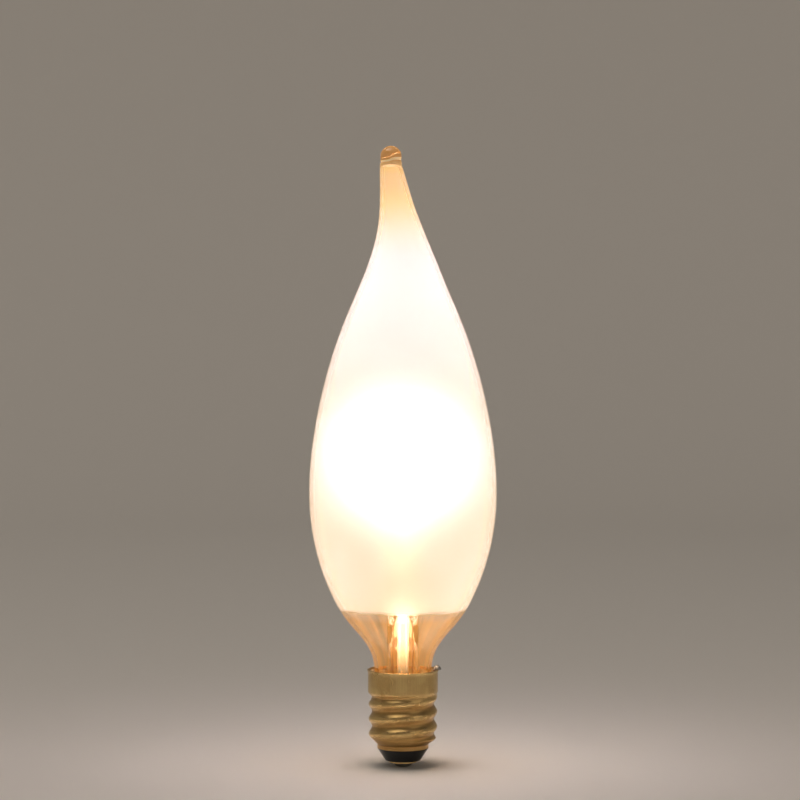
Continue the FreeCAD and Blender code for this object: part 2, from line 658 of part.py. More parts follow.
# Cement between neck and skirt, and the solder that joins the side lead to the rim.
cement = turned("cement_ring", [
    ("shape.neck_radius", "shape.neck_rim + sizes.cement_clearance"),
    ("shape.skirt_bore", "shape.neck_rim + sizes.cement_clearance"),
    ("shape.skirt_bore", "shape.cement_top"),
    ("shape.neck_radius", "shape.cement_top"),
])
basing_cement = cut("basing_cement", cement, [side_lead])
rim_solder = fuse("rim_solder", [
    cylinder("rim_solder_foot", "2 * shape.side_solder_radius", "shape.cap_top",
             "shape.side_solder_shoulder", "shape.side_solder_spot"),
    cone("rim_solder_dome", "shape.side_solder_radius", "sizes.side_solder_crown / 2",
         "shape.side_solder_shoulder", "shape.side_solder_shoulder + sizes.side_solder_dome",
         "shape.side_solder_spot"),
])
side_solder = cut("side_solder", rim_solder, [side_lead])

PIECES = [
    glass_bulb, flare_stem, exhaust_tube, button_rod, *supports, filament, *inner_leads, *seal_wires,
    side_lead, fuse_lead, screw_shell, base_insulator, contact_eyelet, contact_solder, side_solder,
    basing_cement,
]

doc.recompute()
for item in doc.Objects:
    if "Invalid" in item.State or "Error" in item.State:
        raise RuntimeError(f"{item.Label} did not compute: {item.State}")
for piece in PIECES:
    if piece.Shape.isNull() or not piece.Shape.isValid():
        raise RuntimeError(f"{piece.Label} has no valid shape")
    if len(piece.Shape.Solids) != 1:
        raise RuntimeError(f"{piece.Label} is {len(piece.Shape.Solids)} solids")

os.makedirs("parts", exist_ok=True)
for piece in PIECES:
    piece.Shape.exportStep(f"parts/{piece.Label}.step")
    print(f"{piece.Label}: {piece.Shape.Volume:.2f} mm3")
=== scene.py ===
import math

import bmesh
import bpy
from mathutils import Matrix, Vector, noise


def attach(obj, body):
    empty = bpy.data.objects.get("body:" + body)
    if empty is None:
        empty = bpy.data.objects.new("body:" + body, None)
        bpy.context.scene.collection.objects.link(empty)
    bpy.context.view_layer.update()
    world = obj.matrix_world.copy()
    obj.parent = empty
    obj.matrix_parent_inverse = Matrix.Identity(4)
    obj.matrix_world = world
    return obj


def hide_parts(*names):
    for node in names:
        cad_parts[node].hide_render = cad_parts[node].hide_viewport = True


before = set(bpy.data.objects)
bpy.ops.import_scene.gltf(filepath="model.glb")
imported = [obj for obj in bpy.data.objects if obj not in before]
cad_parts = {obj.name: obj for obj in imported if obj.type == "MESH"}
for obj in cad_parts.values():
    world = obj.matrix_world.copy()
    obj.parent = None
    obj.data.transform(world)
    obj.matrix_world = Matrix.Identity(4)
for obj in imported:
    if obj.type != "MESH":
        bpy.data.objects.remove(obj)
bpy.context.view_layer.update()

# Screw shell: thin brass drawn to a cup and rolled to a round right-hand thread.
# The plain skirt above it flares at the rim, and the lip below holds the insulator.
MM = 0.001
SHELL_WALL = 0.28
SHELL_SEGMENTS = 128
SHELL_STEP = 0.12
LIP_RADIUS = 4.4
LIP_BOTTOM = 3.2
LIP_TOP = 3.9
THREAD_START = 4.9
THREAD_END = 12.0
THREAD_PITCH = 2.54
THREAD_RADIUS = 5.59
THREAD_DEPTH = 0.29
SKIRT_BOTTOM = 12.9
SKIRT_RADIUS = 6.0
RIM_BOTTOM = 16.2
RIM_TOP = 16.6
RIM_RADIUS = 6.15
BRASS_BRIGHT = 0xE9CB8C
BRASS_TARNISH = 0xA27C44
BRASS_ROUGH = 0.38
BRASS_SMOOTH = 0.2
RECESS_SHARE = 0.25
TARNISH_SIZE = 3.3
TARNISH_RANGE = (0.35, 0.6)
TARNISH_SHARE = 0.6
DIE_LINE_WIDTH = 0.09
DIE_LINE_LENGTH = 6.0
DIE_LINE_RANGE = (0.3, 0.7)
DIE_LINE_SHARE = 0.75
DIE_LINE_DEPTH = 0.02
ROUNDING_STEPS = 3
SHARP_ANGLE = math.radians(35)
MERGE_DISTANCE = 1e-7


def linear(colour):
    """The linear RGBA of an sRGB hex value."""
    channels = [(colour >> shift & 0xFF) / 255 for shift in (16, 8, 0)]
    return [c / 12.92 if c <= 0.04045 else ((c + 0.055) / 1.055) ** 2.4 for c in channels] + [1.0]


def add_node(material, kind, inputs=None, **settings):
    """A node with its settings. Each input takes a value or the output of another node."""
    added = material.node_tree.nodes.new("ShaderNode" + kind)
    for name, value in settings.items():
        setattr(added, name, value)
    for name, value in (inputs or {}).items():
        if isinstance(value, bpy.types.NodeSocket):
            material.node_tree.links.new(value, added.inputs[name])
        else:
            added.inputs[name].default_value = value
    return added


def new_material(name, **surface):
    """A material with one Principled shader, and the shader, whose inputs are set."""
    material = bpy.data.materials.new(name)
    material.use_nodes = True
    shader = material.node_tree.nodes["Principled BSDF"]
    for label, value in surface.items():
        shader.inputs[label.replace("_", " ")].default_value = value
    return material, shader


def drive(material, source, socket):
    """Let the output of a node set an input."""
    material.node_tree.links.new(source, socket)


def spun(profile, segments, closed=True):
    """A mesh turned about Z from (radius, height) points in millimetres."""
    mesh = bmesh.new()
    verts = [mesh.verts.new((radius * MM, 0, height * MM)) for radius, height in profile]
    edges = [mesh.edges.new(pair) for pair in zip(verts, verts[1:])]
    if closed:
        edges.append(mesh.edges.new((verts[-1], verts[0])))
    bmesh.ops.spin(mesh, geom=verts + edges, cent=(0, 0, 0), axis=(0, 0, 1), angle=math.tau,
                   steps=segments, use_merge=True)
    bmesh.ops.remove_doubles(mesh, verts=mesh.verts, dist=MERGE_DISTANCE)
    bmesh.ops.recalc_face_normals(mesh, faces=mesh.faces)
    return mesh


def add_piece(name, mesh, node, materials, bevel=0.0):
    """The finished piece that stands for a CAD node, with its edges rounded by bevel mm."""
    data = bpy.data.meshes.new(name)
    mesh.to_mesh(data)
    mesh.free()
    for material in materials:
        data.materials.append(material)
    data.shade_smooth()
    piece = bpy.data.objects.new(name, data)
    bpy.context.scene.collection.objects.link(piece)
    if bevel:
        rounding = piece.modifiers.new("rounding", "BEVEL")
        rounding.width = bevel * MM
        rounding.segments = ROUNDING_STEPS
        rounding.limit_method = "ANGLE"
        rounding.angle_limit = SHARP_ANGLE
        rounding.harden_normals = True
    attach(piece, "root")
    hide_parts(node)
    return piece


def clamp(value, low, high):
    return max(low, min(high, value))


def brass(name, dark_radius, bright_radius):
    """Drawn or stamped brass: a warm metal, handled bright on what stands proud and
    tarnished brown below it, with the upright lines of the drawing die. The real lines
    are too fine to show, so these are drawn several times as wide."""
    material, shader = new_material(name, Metallic=1.0)
    place = add_node(material, "TexCoord").outputs["Object"]
    axes = add_node(material, "SeparateXYZ", {"Vector": place})
    flat = add_node(material, "CombineXYZ", {"X": axes.outputs["X"], "Y": axes.outputs["Y"]})
    radius = add_node(material, "VectorMath", {0: flat.outputs["Vector"]}, operation="LENGTH")
    proud = add_node(material, "MapRange", {
        "Value": radius.outputs["Value"], "From Min": dark_radius * MM, "From Max": bright_radius * MM,
        "To Min": RECESS_SHARE, "To Max": 1.0})
    clouds = add_node(material, "TexNoise", {
        "Vector": place, "Scale": 1 / (TARNISH_SIZE * MM), "Detail": 3.0})
    worn = add_node(material, "MapRange", {
        "Value": clouds.outputs["Fac"], "From Min": TARNISH_RANGE[0], "From Max": TARNISH_RANGE[1],
        "To Min": TARNISH_SHARE, "To Max": 1.0})
    across, along_axis = 1 / (DIE_LINE_WIDTH * MM), 1 / (DIE_LINE_LENGTH * MM)
    drawn = add_node(material, "Mapping", {"Vector": place, "Scale": (across, across, along_axis)})
    lines = add_node(material, "TexNoise", {
        "Vector": drawn.outputs["Vector"], "Scale": 1.0, "Detail": 2.0})
    fine = add_node(material, "MapRange", {
        "Value": lines.outputs["Fac"], "From Min": DIE_LINE_RANGE[0], "From Max": DIE_LINE_RANGE[1],
        "To Min": DIE_LINE_SHARE, "To Max": 1.0})
    handled = add_node(material, "Math", {0: proud.outputs["Result"], 1: worn.outputs["Result"]},
                       operation="MULTIPLY")
    clean = add_node(material, "Math", {0: handled.outputs["Value"], 1: fine.outputs["Result"]},
                     operation="MULTIPLY")
    colour = add_node(material, "Mix", {"Factor": clean.outputs["Value"], 6: linear(BRASS_TARNISH),
                                        7: linear(BRASS_BRIGHT)}, data_type="RGBA")
    drive(material, colour.outputs[2], shader.inputs["Base Color"])
    rough = add_node(material, "MapRange", {
        "Value": clean.outputs["Value"], "To Min": BRASS_ROUGH, "To Max": BRASS_SMOOTH})
    drive(material, rough.outputs["Result"], shader.inputs["Roughness"])
    bump = add_node(material, "Bump", {
        "Height": lines.outputs["Fac"], "Strength": 0.08, "Distance": DIE_LINE_DEPTH * MM})
    drive(material, bump.outputs["Normal"], shader.inputs["Normal"])
    return material


SHELL_OUTLINE = ((LIP_BOTTOM, LIP_RADIUS), (LIP_TOP, LIP_RADIUS), (THREAD_START, THREAD_RADIUS),
                 (THREAD_END, THREAD_RADIUS), (SKIRT_BOTTOM, SKIRT_RADIUS), (RIM_BOTTOM, SKIRT_RADIUS),
                 (RIM_TOP, RIM_RADIUS))


def shell_radius(height):
    """Mean radius of the shell at a height."""
    for (low, start), (high, end) in zip(SHELL_OUTLINE, SHELL_OUTLINE[1:]):
        if height <= high:
            return start + (end - start) * (height - low) / (high - low)
    return RIM_RADIUS


rows = round((RIM_TOP - LIP_BOTTOM) / SHELL_STEP)
heights = [LIP_BOTTOM + (RIM_TOP - LIP_BOTTOM) * row / rows for row in range(rows + 1)]
shell = spun([(shell_radius(height), height) for height in heights], SHELL_SEGMENTS, closed=False)
for vertex in shell.verts:
    height = vertex.co.z / MM
    fade = clamp((height - LIP_TOP) / (THREAD_START - LIP_TOP), 0, 1)
    fade *= clamp((SKIRT_BOTTOM - height) / (SKIRT_BOTTOM - THREAD_END), 0, 1)
    turn = math.atan2(vertex.co.y, vertex.co.x) - math.tau * (height - THREAD_END) / THREAD_PITCH
    grown = 1 + fade * THREAD_DEPTH * math.cos(turn) / shell_radius(height)
    vertex.co.x *= grown
    vertex.co.y *= grown
bmesh.ops.recalc_face_normals(shell, faces=shell.faces)
outward = sum(face.normal.dot(face.calc_center_median() * Vector((1, 1, 0))) for face in shell.faces)
if outward < 0:
    bmesh.ops.reverse_faces(shell, faces=shell.faces)
cap_brass = brass("rolled_brass", THREAD_RADIUS - THREAD_DEPTH, THREAD_RADIUS + THREAD_DEPTH)
screw_cap = add_piece("screw_cap", shell, "screw_shell", [cap_brass])
wall = screw_cap.modifiers.new("wall", "SOLIDIFY")
wall.thickness = SHELL_WALL * MM
wall.offset = -1

# Insulator: opaque black glass, pressed hot into the mouth of the shell, which it
# closes round the eyelet. It looks almost black, with a gloss broken by faint swirls
# where the glass flowed.
INSULATOR = ((0.8, 1.05), (3.0, 1.05), (4.4, 3.2), (4.12, 3.2), (4.12, 4.3), (3.2, 4.9), (0.5, 4.9),
             (0.5, 2.4), (0.8, 2.4))
INSULATOR_EDGE = 0.1
BLACK_GLASS = 0x0B0A0C
FLOW_SIZE = 1.1
FLOW_DEPTH = 0.04
FLOW_GLOSS = (0.1, 0.32)
TURNED_SEGMENTS = 96
black_glass, shader = new_material("pressed_black_glass", Base_Color=linear(BLACK_GLASS), IOR=1.55)
place = add_node(black_glass, "TexCoord").outputs["Object"]
swirl = add_node(black_glass, "TexNoise", {
    "Vector": place, "Scale": 1 / (FLOW_SIZE * MM), "Detail": 4.0, "Distortion": 0.6})
flow = add_node(black_glass, "Bump", {
    "Height": swirl.outputs["Fac"], "Strength": 0.25, "Distance": FLOW_DEPTH * MM})
drive(black_glass, flow.outputs["Normal"], shader.inputs["Normal"])
haze = add_node(black_glass, "MapRange", {
    "Value": swirl.outputs["Fac"], "To Min": FLOW_GLOSS[0], "To Max": FLOW_GLOSS[1]})
drive(black_glass, haze.outputs["Result"], shader.inputs["Roughness"])
add_piece("glass_insulator", spun(INSULATOR, TURNED_SEGMENTS), "base_insulator",
          [black_glass], bevel=INSULATOR_EDGE)

# Eyelet: a brass disc whose collar is clenched in the insulator. The fuse lead
# comes through it and is soldered on its face.
EYELET = ((0.5, 0.75), (2.4, 0.75), (2.4, 1.05), (0.8, 1.05), (0.8, 2.4), (0.5, 2.4))
EYELET_EDGE = 0.05
EYELET_DARK = 1.2
EYELET_BRIGHT = 2.4
add_piece("contact_disc", spun(EYELET, TURNED_SEGMENTS), "contact_eyelet",
          [brass("stamped_brass", EYELET_DARK, EYELET_BRIGHT)], bevel=EYELET_EDGE)

# Solder: tin alloy melted on by hand, a dome on the eyelet with a flattened foot and
# a bead on the rim of the cap. It looks dull grey, with brighter ripples where it set.
SOLDER_FOOT = 0.6
SOLDER_RADIUS = 1.7
SOLDER_HEIGHT = 0.75
SOLDER_PLUG = 0.5
SOLDER_TOP = 1.25
SOLDER_STEPS = 10
SOLDER_SHRINK = 0.035
DOME_RIPPLE = 1.0
BEAD_RIPPLE = 0.5
SIDE_SOLDER = (5.8, 0.0, 16.6)
SIDE_SOLDER_RADIUS = 0.75
SIDE_SOLDER_HEIGHT = 0.8
TIN = 0xB4B3AE
TIN_DULL = 0x7C7A74
TIN_ROUGHNESS = (0.6, 0.28)
SOLDER_GRAIN = 0.6
SOLDER_GRAIN_DEPTH = 0.04
solder, shader = new_material("hand_melted_solder", Metallic=1.0)
place = add_node(solder, "TexCoord").outputs["Object"]
ripples = add_node(solder, "TexNoise", {
    "Vector": place, "Scale": 1 / (SOLDER_GRAIN * MM), "Detail": 5.0})
tone = add_node(solder, "Mix", {"Factor": ripples.outputs["Fac"], 6: linear(TIN_DULL), 7: linear(TIN)},
                data_type="RGBA")
drive(solder, tone.outputs[2], shader.inputs["Base Color"])
dull = add_node(solder, "MapRange", {
    "Value": ripples.outputs["Fac"], "To Min": TIN_ROUGHNESS[0], "To Max": TIN_ROUGHNESS[1]})
drive(solder, dull.outputs["Result"], shader.inputs["Roughness"])
bump = add_node(solder, "Bump", {
    "Height": ripples.outputs["Fac"], "Strength": 0.4, "Distance": SOLDER_GRAIN_DEPTH * MM})
drive(solder, bump.outputs["Normal"], shader.inputs["Normal"])
dome = [(0, 0)]
for step in range(SOLDER_STEPS + 1):
    angle = math.radians(90) * step / SOLDER_STEPS
    dome.append((SOLDER_FOOT + (SOLDER_RADIUS - SOLDER_FOOT) * math.sin(angle),
                 SOLDER_HEIGHT * (1 - math.cos(angle))))
dome += [(SOLDER_PLUG, SOLDER_HEIGHT), (SOLDER_PLUG, SOLDER_TOP), (0, SOLDER_TOP)]
contact = spun(dome, TURNED_SEGMENTS, closed=False)
for vertex in contact.verts:
    height = vertex.co.z / MM
    if 0 < height < SOLDER_HEIGHT:
        shrunk = 1 - SOLDER_SHRINK * (0.5 + noise.noise(vertex.co / (DOME_RIPPLE * MM)))
        vertex.co.x *= shrunk
        vertex.co.y *= shrunk
add_piece("centre_contact", contact, "contact_solder", [solder])
bead = bmesh.new()
bmesh.ops.create_icosphere(bead, subdivisions=4, radius=1.0)
cut = bmesh.ops.bisect_plane(bead, geom=bead.verts[:] + bead.edges[:] + bead.faces[:],
                             plane_co=(0, 0, 0), plane_no=(0, 0, -1), clear_outer=True)
bmesh.ops.holes_fill(bead, edges=[item for item in cut["geom_cut"]
                                  if isinstance(item, bmesh.types.BMEdge)])
bmesh.ops.scale(bead, vec=(SIDE_SOLDER_RADIUS * MM, SIDE_SOLDER_RADIUS * MM, SIDE_SOLDER_HEIGHT * MM),
                verts=bead.verts)
for vertex in bead.verts:
    vertex.co *= 1 - SOLDER_SHRINK * (1 + noise.noise(vertex.co / (BEAD_RIPPLE * MM)))
bmesh.ops.translate(bead, vec=Vector(SIDE_SOLDER) * MM, verts=bead.verts)
bmesh.ops.recalc_face_normals(bead, faces=bead.faces)
add_piece("rim_contact", bead, "side_solder", [solder])

# Basing cement: a ring of resin and chalk, baked hard, that fills the cap round the
# neck. It looks tan, matt and gritty, with an uneven top where it was pressed in.
CEMENT_IN = 4.9
CEMENT_OUT = 5.72
CEMENT_BOTTOM = 14.4
CEMENT_TOP = 16.4
CEMENT_BANDS = 5
CEMENT_DIP = 0.12
CEMENT_LUMP = 0.6
CEMENT_LIGHT = 0xB59C72
CEMENT_DARK = 0x7C6544
CEMENT_GRIT = 0.28
CEMENT_GRIT_DEPTH = 0.06
ring = [(CEMENT_IN, CEMENT_BOTTOM), (CEMENT_OUT, CEMENT_BOTTOM)]
for band in range(CEMENT_BANDS + 1):
    ring.append((CEMENT_OUT + (CEMENT_IN - CEMENT_OUT) * band / CEMENT_BANDS, CEMENT_TOP))
cement_ring = spun(ring, TURNED_SEGMENTS)
for vertex in cement_ring.verts:
    if vertex.co.z > (CEMENT_TOP - CEMENT_DIP) * MM:
        vertex.co.z -= CEMENT_DIP * MM * (0.5 + noise.noise(vertex.co / (CEMENT_LUMP * MM)))
cement, shader = new_material("baked_cement", Roughness=0.9)
place = add_node(cement, "TexCoord").outputs["Object"]
grit = add_node(cement, "TexNoise", {"Vector": place, "Scale": 1 / (CEMENT_GRIT * MM), "Detail": 4.0})
tone = add_node(cement, "Mix", {"Factor": grit.outputs["Fac"], 6: linear(CEMENT_DARK),
                                7: linear(CEMENT_LIGHT)}, data_type="RGBA")
drive(cement, tone.outputs[2], shader.inputs["Base Color"])
bump = add_node(cement, "Bump", {
    "Height": grit.outputs["Fac"], "Strength": 0.6, "Distance": CEMENT_GRIT_DEPTH * MM})
drive(cement, bump.outputs["Normal"], shader.inputs["Normal"])
add_piece("cement_ring", cement_ring, "basing_cement", [cement])

# Stem: a clear flared tube, sealed to the neck at its flange, whose top is pinched
# flat round the wires. Its walls carry a painted amber glow, growing upwards to the press,
# in place of the filament's light that runs down inside them.
FLARE_RADIUS = 2.7
FLARE_BORE = 2.1
FLARE_BORE_TOP = 26.4
FLARE_OUTSIDE = ((4.9, 13.4), (4.9, 14.0), (4.2, 14.0), (3.1, 16.0), (2.7, 18.0))
FLARE_INSIDE = ((2.1, 18.0), (2.5, 16.0), (3.6, 13.4))
PRESS_START = 27.0
PRESS_FULL = 30.0
PRESS_TOP = 33.6
PRESS_HALF_WIDTH = 3.1
PRESS_HALF_DEPTH = 1.25
PRESS_STEP = 0.4
PRESS_SQUARENESS = 0.55
PRESS_TOP_RING = 0.6
STEM_PAINTED_GLOW = ((15.0, 0xE8A95A, 0.0), (30.0, 0xE8A95A, 0.12))
STEM_TINT = 0xFFF4E2
CLEAR_IOR = 1.5
REAM_SIZE = 1.4
REAM_DEPTH = 0.05


def painted_glow_by_height(material, height, stops):
    """The colour of a painted glow on the glass at a height in metres, by stops of
    (millimetres, colour, strength)."""
    low, high = stops[0][0], stops[-1][0]
    share = add_node(material, "MapRange", {"Value": height, "From Min": low * MM, "From Max": high * MM})
    ramp = add_node(material, "ValToRGB", {"Fac": share.outputs["Result"]})
    elements = ramp.color_ramp.elements
    for index, (level, colour, strength) in enumerate(stops):
        position = (level - low) / (high - low)
        stop = elements[index] if index < 2 else elements.new(position)
        stop.position = position
        stop.color = [channel * strength for channel in linear(colour)[:3]] + [1.0]
    return ramp.outputs["Color"]


def glass_with_painted_glow(name, stops):
    """Clear glass softened and shaped in a flame: bright and a little uneven, with a painted
    glow by the stops in place of the filament's light that it pipes."""
    material, shader = new_material(name, Roughness=0.03, IOR=CLEAR_IOR, Transmission_Weight=1.0,
                                    Base_Color=linear(STEM_TINT), Emission_Strength=1.0)
    place = add_node(material, "TexCoord").outputs["Object"]
    axes = add_node(material, "SeparateXYZ", {"Vector": place})
    drive(material, painted_glow_by_height(material, axes.outputs["Z"], stops), shader.inputs["Emission Color"])
    ream = add_node(material, "TexNoise", {
        "Vector": place, "Scale": 1 / (REAM_SIZE * MM), "Detail": 1.0})
    bump = add_node(material, "Bump", {
        "Height": ream.outputs["Fac"], "Strength": 0.15, "Distance": REAM_DEPTH * MM})
    drive(material, bump.outputs["Normal"], shader.inputs["Normal"])
    return material


press_rows = round((PRESS_TOP - PRESS_START) / PRESS_STEP)
outside = list(FLARE_OUTSIDE)
outside += [(FLARE_RADIUS, PRESS_START + (PRESS_TOP - PRESS_START) * row / press_rows)
            for row in range(press_rows + 1)]
outside += [(FLARE_RADIUS * PRESS_TOP_RING, PRESS_TOP), (0, PRESS_TOP)]
stem_mesh = spun(outside + [(0, FLARE_BORE_TOP), (FLARE_BORE, FLARE_BORE_TOP)] + list(FLARE_INSIDE),
                 TURNED_SEGMENTS)
for vertex in stem_mesh.verts:
    pinch = clamp((vertex.co.z / MM - PRESS_START) / (PRESS_FULL - PRESS_START), 0, 1)
    pinch = pinch * pinch * (3 - 2 * pinch)
    reach = math.hypot(vertex.co.x, vertex.co.y)
    if pinch and reach:
        across, deep = vertex.co.x / reach, vertex.co.y / reach
        square = Vector((math.copysign(abs(across) ** PRESS_SQUARENESS, across) * PRESS_HALF_WIDTH,
                         math.copysign(abs(deep) ** PRESS_SQUARENESS, deep) * PRESS_HALF_DEPTH, 0))
        flat = square * reach / FLARE_RADIUS
        vertex.co.x += (flat.x - vertex.co.x) * pinch
        vertex.co.y += (flat.y - vertex.co.y) * pinch
stem_glass = glass_with_painted_glow("flame_worked_glass_painted_glow", STEM_PAINTED_GLOW)
stem_press = add_piece("stem_press", stem_mesh, "flare_stem", [stem_glass])

# Exhaust tube: the thin glass tube through which the lamp was emptied. It is melted
# shut in the cap, and its fused root under the press carries a painted white glow.
EXHAUST = ((0, 7.5), (0.35, 7.5), (0.55, 7.9), (0.95, 9.3), (0.95, 22.0), (1.05, 24.2), (1.3, 26.4),
           (1.3, 28.5), (0.55, 28.5), (0.55, 9.3), (0, 8.4))
EXHAUST_PAINTED_GLOW = ((15.0, 0xFFE6D0, 0.0), (18.0, 0xFFE6D0, 0.3), (23.0, 0xFFF2F0, 0.75),
                 (25.5, 0xFFF2F0, 0.75), (28.5, 0xFFD0B8, 0.12))
exhaust_glass = glass_with_painted_glow("exhaust_glass_painted_glow", EXHAUST_PAINTED_GLOW)
exhaust_tip = add_piece("exhaust_tip", spun(EXHAUST, TURNED_SEGMENTS, closed=False), "exhaust_tube",
                        [exhaust_glass])

# Rod and button: a glass rod stands on the press, and its melted button holds the
# roots of the support wires. A painted amber glow grows up the rod to the button.
ROD_RADIUS = 0.9
ROD_BOTTOM = 33.6
BUTTON_RADIUS = 1.5
BUTTON_CENTRE = 46.0
BUTTON_HALF = 1.0
BUTTON_START = -60
BUTTON_TURN = 150
BUTTON_STEPS = 16
ROD_PAINTED_GLOW = ((30.0, 0xE8A95A, 0.0), (46.0, 0xE8A95A, 0.5))
rod = [(0, ROD_BOTTOM), (ROD_RADIUS, ROD_BOTTOM)]
for step in range(BUTTON_STEPS + 1):
    angle = math.radians(BUTTON_START + BUTTON_TURN * step / BUTTON_STEPS)
    rod.append((max(BUTTON_RADIUS * math.cos(angle), 0), BUTTON_CENTRE + BUTTON_HALF * math.sin(angle)))
rod_glass = glass_with_painted_glow("drawn_rod_glass_painted_glow", ROD_PAINTED_GLOW)
rod_with_button = add_piece("rod_with_button", spun(rod, TURNED_SEGMENTS, closed=False), "button_rod",
                            [rod_glass])

# Wires: nickel leads carry the current to the filament, copper-clad wires seal in
# the press, thin outer wires run to the contacts, and grey refractory wires with
# hooked ends hold the filament up from the button.
HEART = 50.0
CREST = 57.0
SPAN = 5.0
SEAL_SPREAD = 1.7
SEAL_BOTTOM = 28.6
SEAL_TOP = 32.4
LEAD_WIRE = 0.5
LEAD_PATH = ((SEAL_SPREAD, SEAL_TOP), (SEAL_SPREAD, 35.0), (1.9, 37.0), (4.8, 42.0), (SPAN, 44.0),
             (SPAN, HEART))
CLAMP_RADIUS = 0.42
CLAMP_LENGTH = 1.6
CLAMP_MIDDLE = 50.2
FUSE_WIRE = 0.3
FUSE_PATH = ((-SEAL_SPREAD, SEAL_BOTTOM), (-SEAL_SPREAD, 18.0), (-SEAL_SPREAD, 9.5), (-1.5, 7.8),
             (-0.1, 5.8), (0.0, 4.5), (0.0, 0.4))
SIDE_WIRE = 0.36
SIDE_PATH = ((SEAL_SPREAD, SEAL_BOTTOM), (SEAL_SPREAD, 14.5), (SEAL_SPREAD, 13.1), (3.0, 13.1),
             (5.31, 13.1), (5.31, 14.5), (5.31, 16.0), (5.31, 16.95), (5.9, 16.95))
SUPPORT_WIRE = 0.25
# Each support's side, the place where it holds the filament, and its root in the button.
SUPPORTS = (("left", -2.5, -0.8), ("centre", 0.0, 0.0), ("right", 2.5, 0.8))
SUPPORT_FOOT = (46.3, 48.3)
# Between them it passes points given as a share of the root, a share of the place, and a height.
SUPPORT_FAN = ((1.4, 0.0, 49.4), (0.0, 0.95, 52.4), (0.0, 1.0, 54.0))
HOOK_REACH = 0.35
HOOK_LENGTH = 0.85
NICKEL = 0xB8B0A2
COPPER_CLAD = 0xA24A2E
TINNED_COPPER = 0xC79A74
REFRACTORY = 0x8F8C88
WIRE_SHADE = 0.7
WIRE_MOTTLE = 0.2
WIRE_GLOSS = (0.7, 1.4)
WIRE_STEPS = 8


def drawn_wire(name, colour, roughness):
    """Drawn wire: a smooth metal whose tone and gloss are a little mottled by heat. The
    mottling is drawn as wide as the wire, so that it shows."""
    material, shader = new_material(name, Metallic=1.0)
    place = add_node(material, "TexCoord").outputs["Object"]
    mottle = add_node(material, "TexNoise", {
        "Vector": place, "Scale": 1 / (WIRE_MOTTLE * MM), "Detail": 2.0})
    tone = add_node(material, "Mix", {"Factor": mottle.outputs["Fac"],
                                      6: [channel * WIRE_SHADE for channel in linear(colour)[:3]] + [1.0],
                                      7: linear(colour)}, data_type="RGBA")
    drive(material, tone.outputs[2], shader.inputs["Base Color"])
    rough = add_node(material, "MapRange", {
        "Value": mottle.outputs["Fac"], "To Min": roughness * WIRE_GLOSS[0],
        "To Max": roughness * WIRE_GLOSS[1]})
    drive(material, rough.outputs["Result"], shader.inputs["Roughness"])
    return material


def wire_mesh(points, diameter, smooth=True, roundness=4):
    """A wire along points in millimetres, bent smoothly between its ends. It has four
    sides, and two more for each step of roundness."""
    curve = bpy.data.curves.new("wire", "CURVE")
    curve.dimensions = "3D"
    curve.bevel_depth = diameter / 2 * MM
    curve.bevel_resolution = roundness
    curve.use_fill_caps = True
    curve.resolution_u = WIRE_STEPS
    spline = curve.splines.new("NURBS" if smooth else "POLY")
    spline.points.add(len(points) - 1)
    for place, point in zip(spline.points, points):
        place.co = (point[0] * MM, point[1] * MM, point[2] * MM, 1)
    if smooth:
        spline.order_u = 3
        spline.use_endpoint_u = True
    holder = bpy.data.objects.new("wire", curve)
    bpy.context.scene.collection.objects.link(holder)
    data = bpy.data.meshes.new_from_object(holder)
    mesh = bmesh.new()
    mesh.from_mesh(data)
    bpy.data.objects.remove(holder)
    bpy.data.meshes.remove(data)
    bpy.data.curves.remove(curve)
    bmesh.ops.remove_doubles(mesh, verts=mesh.verts, dist=MERGE_DISTANCE)
    bmesh.ops.recalc_face_normals(mesh, faces=mesh.faces)
    return mesh


nickel = drawn_wire("drawn_nickel", NICKEL, 0.3)
copper_clad = drawn_wire("borated_copper_clad_wire", COPPER_CLAD, 0.35)
outer_wire = drawn_wire("tinned_copper_wire", TINNED_COPPER, 0.3)
refractory = drawn_wire("drawn_refractory_wire", REFRACTORY, 0.4)
for side, sign in (("left", -1), ("right", 1)):
    lead = wire_mesh([(reach * sign, 0, height) for reach, height in LEAD_PATH], LEAD_WIRE)
    bmesh.ops.create_cone(lead, cap_ends=True, segments=24, radius1=CLAMP_RADIUS * MM,
                          radius2=CLAMP_RADIUS * MM, depth=CLAMP_LENGTH * MM,
                          matrix=Matrix.Translation((SPAN * sign * MM, 0, CLAMP_MIDDLE * MM)))
    add_piece(f"lead_and_clamp_{side}", lead, f"inner_lead_{side}", [nickel])
    seal = wire_mesh([(SEAL_SPREAD * sign, 0, height) for height in (SEAL_BOTTOM, SEAL_TOP)], LEAD_WIRE,
                     smooth=False)
    add_piece(f"sealed_wire_{side}", seal, f"seal_wire_{side}", [copper_clad])
fuse = wire_mesh([(reach, 0, height) for reach, height in FUSE_PATH], FUSE_WIRE)
add_piece("fuse_wire", fuse, "fuse_lead", [outer_wire])
rim_wire = wire_mesh([(reach, 0, height) for reach, height in SIDE_PATH], SIDE_WIRE)
add_piece("side_wire", rim_wire, "side_lead", [outer_wire])
for side, spot, root in SUPPORTS:
    level, hook = (CREST, -1) if spot else (HEART, 1)
    turn = level + hook * HOOK_REACH
    stalk = [(root, HOOK_REACH, height) for height in SUPPORT_FOOT]
    if spot:
        stalk += [(root * near + spot * far, HOOK_REACH, height) for near, far, height in SUPPORT_FAN]
    stalk += [(spot, HOOK_REACH, turn - HOOK_LENGTH / 2), (spot, HOOK_REACH, turn),
              (spot, 0, turn), (spot, -HOOK_REACH, turn),
              (spot, -HOOK_REACH, turn - hook * HOOK_LENGTH)]
    add_piece(f"support_{side}", wire_mesh(stalk, SUPPORT_WIRE), f"support_wire_{side}",
              [refractory])

